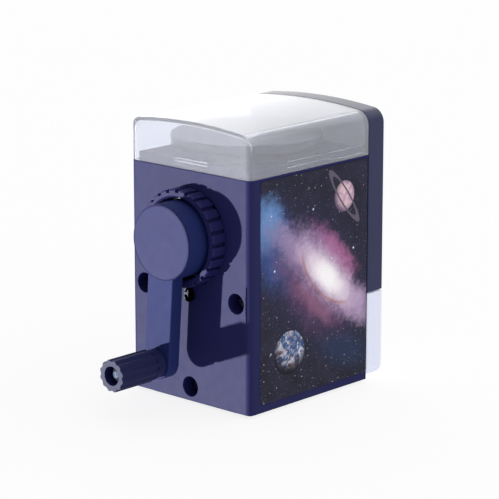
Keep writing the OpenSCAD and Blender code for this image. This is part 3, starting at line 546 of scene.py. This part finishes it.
# The same plastic on its rounded edges, hazier and with a painted glow: an emission that paints on the
# bright lines that light guided out at the edges would give
EDGE_POLYSTYRENE = ClearPlastic("polystyrene_edge_with_painted_glow", "#ffffff", 0.3, 0.5, 0.8)
# Milky drawer plastic, with the faint painted glow of its default glow
FROSTED_POLYPROPYLENE = FrostedPlastic("milky_frosted_polypropylene")
BLACK_RUBBER = Rubber("moulded_black_rubber")
# Turned brass bushes and pinion
BRASS = Metal("turned_brass", "#c8a264", MetalSurface.DRAWN)
# Bright zinc plate on screws
ZINC_PLATE = Metal("bright_zinc_plate", "#8f9298", MetalSurface.CAST)
# Dark nickel on the stop collar
DARK_NICKEL = Metal("dark_nickel_plate", "#26272d", MetalSurface.CAST)
# Drawn spring wire and clips
SPRING_STEEL = Metal("drawn_spring_steel", "#a7abb2", MetalSurface.DRAWN)
# Ground, hardened cutter and jaws
HARDENED_STEEL = Metal("ground_hardened_steel", "#8b9098", MetalSurface.GROUND)
# Chrome plate on the rods and the bezel
CHROME = Metal("chrome_plate", "#dcdee2", MetalSurface.POLISHED)
# Blued steel of the grip's pin, with a small soft highlight on its head
BLUED_STEEL = Metal("blued_steel", "#2f3542", MetalSurface.CAST)
# Tumbled zinc casting of the carrier
CAST_ZINC = Metal("tumbled_cast_zinc", "#9ea1a8", MetalSurface.CAST)


# ---------------------------------------------------------------- mesh helpers


def new_piece(name: str, mesh: bpy.types.Mesh, finishes: Iterable[Finish]) -> bpy.types.Object:
    """Makes an object at the origin from a finished mesh.

    Args:
        name: the piece's name.
        mesh: its mesh, in metres, in the frame's place.
        finishes: what it is made of, in the order of its faces' material numbers.

    Returns:
        The new object.
    """
    mesh.materials.clear()
    for finish in finishes:
        mesh.materials.append(finish.material())
    mesh.name = name
    piece = bpy.data.objects.new(name, mesh)
    bpy.context.scene.collection.objects.link(piece)
    return piece


def baked(piece: bpy.types.Object) -> bpy.types.Mesh:
    """Applies a piece's modifiers.

    Args:
        piece: an object with modifiers. It is removed.

    Returns:
        The plain mesh that the modifiers made.
    """
    graph = bpy.context.evaluated_depsgraph_get()
    mesh = bpy.data.meshes.new_from_object(piece.evaluated_get(graph), depsgraph=graph)
    bpy.data.objects.remove(piece)
    return mesh


def merged_copy(node: str, where: Callable[[Vector], bool], from_angle: float) -> bpy.types.Mesh:
    """Copies a CAD node's mesh, joins its loose triangles and marks the edges to be rounded.

    Args:
        node: the CAD node.
        where: whether an edge with its middle there, in mm, may be rounded.
        from_angle: edges that bend more than this many degrees are marked.

    Returns:
        The copy, with its marked edges' bevel weight at 1.
    """
    shape = bmesh.new()
    shape.from_mesh(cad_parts[node].data)
    bmesh.ops.remove_doubles(shape, verts=shape.verts, dist=0.0005 * MM)
    bmesh.ops.dissolve_limit(shape, angle_limit=math.radians(0.2), verts=shape.verts, edges=shape.edges)
    weight = shape.edges.layers.float.new("bevel_weight_edge")
    for edge in shape.edges:
        middle = (edge.verts[0].co + edge.verts[1].co) / 2 / MM
        sharp = len(edge.link_faces) == 2 and edge.calc_face_angle(0.0) > math.radians(from_angle)
        edge[weight] = 1.0 if sharp and where(middle) else 0.0
        edge.smooth = not sharp or where(middle)
    mesh = bpy.data.meshes.new(node + "_copy")
    shape.to_mesh(mesh)
    shape.free()
    return mesh


def anywhere(place: Vector) -> bool:
    """Lets every sharp edge be rounded."""
    return True


def eased(node: str, finish: Finish, width_mm: float, body: str, segments: int = 2,
          where: Callable[[Vector], bool] = anywhere, from_angle: float = 40.0,
          edge_finish: Finish | None = None) -> bpy.types.Object:
    """Makes a piece from a CAD node with its sharp edges rounded, as a moulding's are.

    Args:
        node: the CAD node, which is then hidden.
        finish: what the piece is made of.
        width_mm: the rounding's width.
        body: the body that it rides on.
        segments: faces across the rounding.
        where: whether an edge with its middle there, in mm, may be rounded.
        from_angle: edges that bend more than this many degrees are rounded.
        edge_finish: what the rounded edges look like, if not like the rest.

    Returns:
        The new piece.
    """
    source = merged_copy(node, where, from_angle)
    source.polygons.foreach_set("use_smooth", [True] * len(source.polygons))
    source.polygons.foreach_set("material_index", [0] * len(source.polygons))
    finishes = (finish,) if edge_finish is None else (finish, edge_finish)
    source.materials.clear()
    for each in finishes:
        source.materials.append(each.material())
    rough = bpy.data.objects.new(node + "_rough", source)
    bpy.context.scene.collection.objects.link(rough)
    bevel = rough.modifiers.new("ease", "BEVEL")
    bevel.width = width_mm * MM
    bevel.segments = segments
    bevel.limit_method = "WEIGHT"
    bevel.use_clamp_overlap = False
    bevel.miter_outer = "MITER_ARC"
    if edge_finish is not None:
        bevel.material = 1
    weighted = rough.modifiers.new("flat faces stay flat", "WEIGHTED_NORMAL")
    weighted.weight = 100
    weighted.keep_sharp = True
    piece = new_piece(node + "_skin", baked(rough), finishes)
    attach(piece, body)
    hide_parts(node)
    log.info("%s: %d faces, for %s", piece.name, len(piece.data.polygons), node)
    return piece


def dress(node: str, finish: Finish) -> None:
    """Gives a CAD node that stays a better material."""
    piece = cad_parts[node]
    piece.data.materials.clear()
    piece.data.materials.append(finish.material())
    log.info("%s: kept, in %s", node, finish.name)


@dataclass
class Socket:
    """One named input of a Geometry Nodes tree: its kind and its value, in metres or as a count."""

    name: str
    kind: str
    value: Any


@dataclass
class CoilPair:
    """A pair of round-wire coil springs, made by a Geometry Nodes tree.

    The tree winds one spiral, sweeps a round wire along it, and sets a copy at each place.
    """

    wire_r: float = 0.3
    coil_r: float = 2.95
    turns: float = 10.0
    start_y: float = 0.0
    length: float = 30.0
    half_spread: float = 23.5
    height: float = 62.0
    steps: int = 36

    def sockets(self) -> list[Socket]:
        """Lists the tree's inputs with this pair's values."""
        first = mm(-self.half_spread, self.start_y + self.wire_r, self.height)
        return [
            Socket("Wire Radius", "NodeSocketFloat", self.wire_r * MM),
            Socket("Coil Radius", "NodeSocketFloat", self.coil_r * MM),
            Socket("Turns", "NodeSocketFloat", self.turns),
            Socket("Steps per Turn", "NodeSocketInt", self.steps),
            Socket("Length", "NodeSocketFloat", (self.length - 2 * self.wire_r) * MM),
            Socket("First Place", "NodeSocketVector", first),
            Socket("Step to the Next", "NodeSocketVector", mm(2 * self.half_spread, 0, 0)),
            Socket("Count", "NodeSocketInt", 2),
            Socket("Finish", "NodeSocketMaterial", SPRING_STEEL.material()),
        ]

    def tree(self, sockets: list[Socket]) -> bpy.types.NodeTree:
        """Builds the node tree.

        Args:
            sockets: its inputs.

        Returns:
            A tree that ends in real geometry with its material set.
        """
        tree = bpy.data.node_groups.new("coil_pair", "GeometryNodeTree")
        for socket in sockets:
            tree.interface.new_socket(socket.name, in_out="INPUT", socket_type=socket.kind)
        tree.interface.new_socket("Geometry", in_out="OUTPUT", socket_type="NodeSocketGeometry")
        given = add_node(tree, "NodeGroupInput").outputs
        spiral = add_node(tree, "GeometryNodeCurveSpiral", inputs={
            "Resolution": given["Steps per Turn"], "Rotations": given["Turns"],
            "Start Radius": given["Coil Radius"], "End Radius": given["Coil Radius"],
            "Height": given["Length"]})
        round_wire = add_node(tree, "GeometryNodeCurvePrimitiveCircle", inputs={
            "Resolution": 12, "Radius": given["Wire Radius"]})
        swept = add_node(tree, "GeometryNodeCurveToMesh", inputs={
            "Curve": spiral.outputs["Curve"], "Profile Curve": round_wire.outputs["Curve"],
            "Fill Caps": True})
        places = add_node(tree, "GeometryNodeMeshLine", inputs={
            "Count": given["Count"], "Start Location": given["First Place"],
            "Offset": given["Step to the Next"]})
        copies = add_node(tree, "GeometryNodeInstanceOnPoints", inputs={
            "Points": places.outputs["Mesh"], "Instance": swept.outputs["Mesh"],
            "Rotation": (math.radians(-90), 0.0, 0.0)})
        real = add_node(tree, "GeometryNodeRealizeInstances", inputs={
            "Geometry": copies.outputs["Instances"]})
        finished = add_node(tree, "GeometryNodeSetMaterial", inputs={
            "Geometry": real.outputs["Geometry"], "Material": given["Finish"]})
        add_node(tree, "NodeGroupOutput", inputs={"Geometry": finished.outputs["Geometry"]})
        return tree

    def build(self) -> bpy.types.Object:
        """Makes the pair, bakes it to a plain mesh and ties it to the housing."""
        sockets = self.sockets()
        tree = self.tree(sockets)
        rough = bpy.data.objects.new("feed_coils_rough", bpy.data.meshes.new("feed_coils_rough"))
        bpy.context.scene.collection.objects.link(rough)
        modifier = rough.modifiers.new("coils", "NODES")
        modifier.node_group = tree
        names = {item.name: item.identifier for item in tree.interface.items_tree if item.in_out == "INPUT"}
        for socket in sockets:
            modifier[names[socket.name]] = socket.value
        mesh = baked(rough)
        mesh.shade_smooth()
        piece = new_piece("feed_coils", mesh, (SPRING_STEEL,))
        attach(piece, "housing")
        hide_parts("feed_springs")
        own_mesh(piece)
        log.info("feed_coils: %d faces, %.1f mm long", len(mesh.polygons), self.length)
        return piece


@dataclass
class Studio:
    """A plain pale floor, a soft white room and one hard low light from the crank side."""

    eye: tuple[float, float, float] = (665.5, -729.5, 298.2)
    azimuth: float = 42.578
    elevation: float = 13.722
    lens: float = 177.71
    key_direction: tuple[float, float, float] = (0.82, 1.0, 0.33)
    key_power: float = 5.0
    floor_size: float = 30000.0

    def build(self) -> None:
        """Makes the camera, the floor, the lights and the sky."""
        self.camera()
        self.floor()
        self.key()
        self.room()

    def camera(self) -> None:
        """Places the camera at its calibrated place and angle."""
        data = bpy.data.cameras.new("camera")
        data.lens = self.lens
        data.sensor_width = 36.0
        data.clip_start = 0.01
        data.clip_end = 100.0
        camera = bpy.data.objects.new("camera", data)
        bpy.context.scene.collection.objects.link(camera)
        turn, rise = math.radians(self.azimuth), math.radians(self.elevation)
        back = Vector((math.sin(turn) * math.cos(rise), -math.cos(turn) * math.cos(rise), math.sin(rise)))
        camera.location = mm(*self.eye)
        camera.rotation_mode = "QUATERNION"
        camera.rotation_quaternion = (-back).to_track_quat("-Z", "Y")
        bpy.context.scene.camera = camera

    def floor(self) -> None:
        """Lays a wide pale floor that hardly darkens under the object."""
        size = self.floor_size / 2
        mesh = bpy.data.meshes.new("floor")
        corners = [mm(x, y, -0.02) for x, y in ((-size, -size), (size, -size), (size, size), (-size, size))]
        mesh.from_pydata(corners, [], [(0, 1, 2, 3)])
        material = bpy.data.materials.new("pale_floor")
        material.use_nodes = True
        tree = material.node_tree
        tree.nodes.clear()
        matte = add_node(tree, "ShaderNodeBsdfDiffuse", inputs={"Color": (0.2, 0.2, 0.205, 1.0)})
        glow = add_node(tree, "ShaderNodeEmission", inputs={"Color": (1.0, 1.0, 1.0, 1.0), "Strength": 0.84})
        both = add_node(tree, "ShaderNodeAddShader", inputs={0: matte.outputs[0], 1: glow.outputs[0]})
        add_node(tree, "ShaderNodeOutputMaterial", inputs={"Surface": both.outputs[0]})
        mesh.materials.append(material)
        floor = bpy.data.objects.new("floor", mesh)
        bpy.context.scene.collection.objects.link(floor)
        floor.visible_shadow = False
        floor.visible_glossy = False

    def key(self) -> None:
        """Adds the one light that throws the crank's clear shadow on the shell."""
        data = bpy.data.lights.new("key", "SUN")
        data.energy = self.key_power
        data.angle = math.radians(1.6)
        light = bpy.data.objects.new("key", data)
        bpy.context.scene.collection.objects.link(light)
        light.rotation_mode = "QUATERNION"
        light.rotation_quaternion = Vector(self.key_direction).to_track_quat("-Z", "Y")

    def room(self) -> None:
        """Makes the sky: white where it is seen or seen through, dimmer on the crank's side as a light."""
        world = bpy.data.worlds.new("room")
        bpy.context.scene.world = world
        world.use_nodes = True
        tree = world.node_tree
        tree.nodes.clear()
        seen = add_node(tree, "ShaderNodeLightPath")
        place = add_node(tree, "ShaderNodeTexCoord")
        side = add_node(tree, "ShaderNodeVectorMath", {"operation": "DOT_PRODUCT"}, {
            0: place.outputs["Generated"], 1: Vector((0.55, 0.75, 0.36)).normalized()})
        level = add_node(tree, "ShaderNodeMapRange", {"interpolation_type": "SMOOTHSTEP"}, {
            "Value": side.outputs["Value"], "From Min": -0.75, "From Max": 0.25,
            "To Min": 0.07, "To Max": 0.9})
        axes = add_node(tree, "ShaderNodeSeparateXYZ", inputs={0: place.outputs["Generated"]})
        above = add_node(tree, "ShaderNodeMapRange", {"interpolation_type": "SMOOTHSTEP"}, {
            "Value": axes.outputs["Z"], "From Min": 0.2, "From Max": 0.65, "To Min": 0.0, "To Max": 1.0})
        beyond = add_node(tree, "ShaderNodeVectorMath", {"operation": "DOT_PRODUCT"}, {
            0: place.outputs["Generated"], 1: Vector((-0.657, 0.715, 0.237))})
        backdrop = add_node(tree, "ShaderNodeMapRange", {"interpolation_type": "SMOOTHSTEP"}, {
            "Value": beyond.outputs["Value"], "From Min": 0.6, "From Max": 0.93,
            "To Min": 0.0, "To Max": 1.7})
        dimmed = add_node(tree, "ShaderNodeMath", {"operation": "MULTIPLY"}, {
            0: level.outputs["Result"], 1: 0.3})
        overhead = add_node(tree, "ShaderNodeMath", {"operation": "MAXIMUM"}, {
            0: dimmed.outputs[0], 1: above.outputs["Result"]})
        mirrored = add_node(tree, "ShaderNodeMath", {"operation": "MAXIMUM"}, {
            0: overhead.outputs[0], 1: backdrop.outputs["Result"]})
        lit = add_node(tree, "ShaderNodeMix", {"data_type": "FLOAT"}, {
            0: seen.outputs["Is Glossy Ray"], 2: level.outputs["Result"], 3: mirrored.outputs[0]})
        plain = add_node(tree, "ShaderNodeMath", {"operation": "MAXIMUM"}, {
            0: seen.outputs["Is Camera Ray"], 1: seen.outputs["Is Transmission Ray"]})
        strength = add_node(tree, "ShaderNodeMix", {"data_type": "FLOAT"}, {
            0: plain.outputs[0], 2: lit.outputs[0], 3: 1.0})
        sky = add_node(tree, "ShaderNodeBackground", inputs={
            "Color": (1.0, 1.0, 1.0, 1.0), "Strength": strength.outputs[0]})
        add_node(tree, "ShaderNodeOutputWorld", inputs={"Surface": sky.outputs[0]})


@dataclass
class Shell:
    """The outer shell, its films, its pad, the deck with the pot, and what is fixed inside."""

    edge: float = 0.35

    def build(self) -> None:
        """Makes the shell's pieces and dresses the hidden ones."""
        low, high = (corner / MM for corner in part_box("outer_shell"))
        eased("outer_shell", NAVY_ABS, self.edge, "housing",
              where=lambda place: place.y < low.y + 0.2 or abs(place.x) > high.x - 0.2)
        eased("top_deck", NAVY_ABS, self.edge, "housing")
        eased("base_pad", BLACK_RUBBER, self.edge, "housing")
        low, high = (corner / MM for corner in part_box("side_print_right"))
        middle = ((low.y + high.y) / 2, (low.z + high.z) / 2)
        dress("side_print_right", StarrySky("sky_print_right", Side.RIGHT, middle))
        dress("side_print_left", StarrySky("sky_print_left", Side.LEFT, middle))
        for node, finish in (("inner_frame", GREY_ABS), ("gear_housing", WHITE_ACETAL), ("rear_bush", BRASS),
                             ("front_bush", BRASS), ("rod_bushes", BRASS), ("shell_screws", ZINC_PLATE),
                             ("stop_screw", DARK_NICKEL)):
            dress(node, finish)


@dataclass
class Lid:
    """The clear lift-off lid and the pot's cap under it."""

    edge: float = 0.42
    cap_edge: float = 0.3

    def build(self) -> None:
        """Makes the lid and the cap."""
        eased("clear_lid", CLEAR_POLYSTYRENE, self.edge, "lid", 3,
              edge_finish=EDGE_POLYSTYRENE)
        eased("pot_cap", GLOSS_NAVY_ABS, self.cap_edge, "cap", 3)


@dataclass
class Crank:
    """The crank arm with its hub cap, the fluted grip on its pin, and the ribbed lock ring."""

    edge: float = 0.5

    def build(self) -> None:
        """Makes the crank's pieces."""
        eased("crank_arm", SLATE_ABS, self.edge, "crank", 3)
        eased("hub_cap", HUB_ABS, 0.4, "crank")
        eased("grip", GRIP_ABS, 0.25, "grip_sleeve")
        eased("lock_ring", NAVY_ABS, 0.2, "ring")
        for node, finish in (("crank_screw", ZINC_PLATE), ("grip_pin", BLUED_STEEL),
                             ("cutter_carrier", CAST_ZINC), ("cutter_shaft", SPRING_STEEL),
                             ("helical_cutter", HARDENED_STEEL),
                             ("cutter_pinion", BRASS)):
            dress(node, finish)


@dataclass
class Carriage:
    """The front plate with its jaws and rods, and the drawer below it."""

    edge: float = 0.5

    def build(self) -> None:
        """Makes the plate and the drawer, and dresses the jaws and rods."""
        eased("front_plate", PLATE_ABS, self.edge, "carriage",
              where=lambda place: math.hypot(place.x, place.z - AXIS_Z) > SLOT_REACH)
        eased("drawer", FROSTED_POLYPROPYLENE, 0.4, "drawer_tray")
        for node, finish in (("carriage_back", GREY_ABS), ("guide_rods", CHROME),
                             ("rod_clips", SPRING_STEEL), ("rod_screws", ZINC_PLATE),
                             ("pencil_bezel", CHROME), ("cam_ring", GLOSS_NAVY_ABS),
                             ("jaw_1", HARDENED_STEEL), ("jaw_2", HARDENED_STEEL),
                             ("jaw_3", HARDENED_STEEL)):
            dress(node, finish)
        low, high = (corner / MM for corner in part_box("feed_springs"))
        CoilPair(start_y=low.y, length=high.y - low.y,
                 half_spread=(high.x - low.x) / 2 - CoilPair.coil_r - CoilPair.wire_r,
                 height=(high.z + low.z) / 2).build()


def main() -> None:
    """Builds the studio and each sub-assembly."""
    bpy.context.scene.view_settings.view_transform = "Standard"
    Studio().build()
    for assembly in (Shell(), Lid(), Crank(), Carriage()):
        assembly.build()
        log.info("%s is built", type(assembly).__name__)


if __name__ == "__main__":
    main()
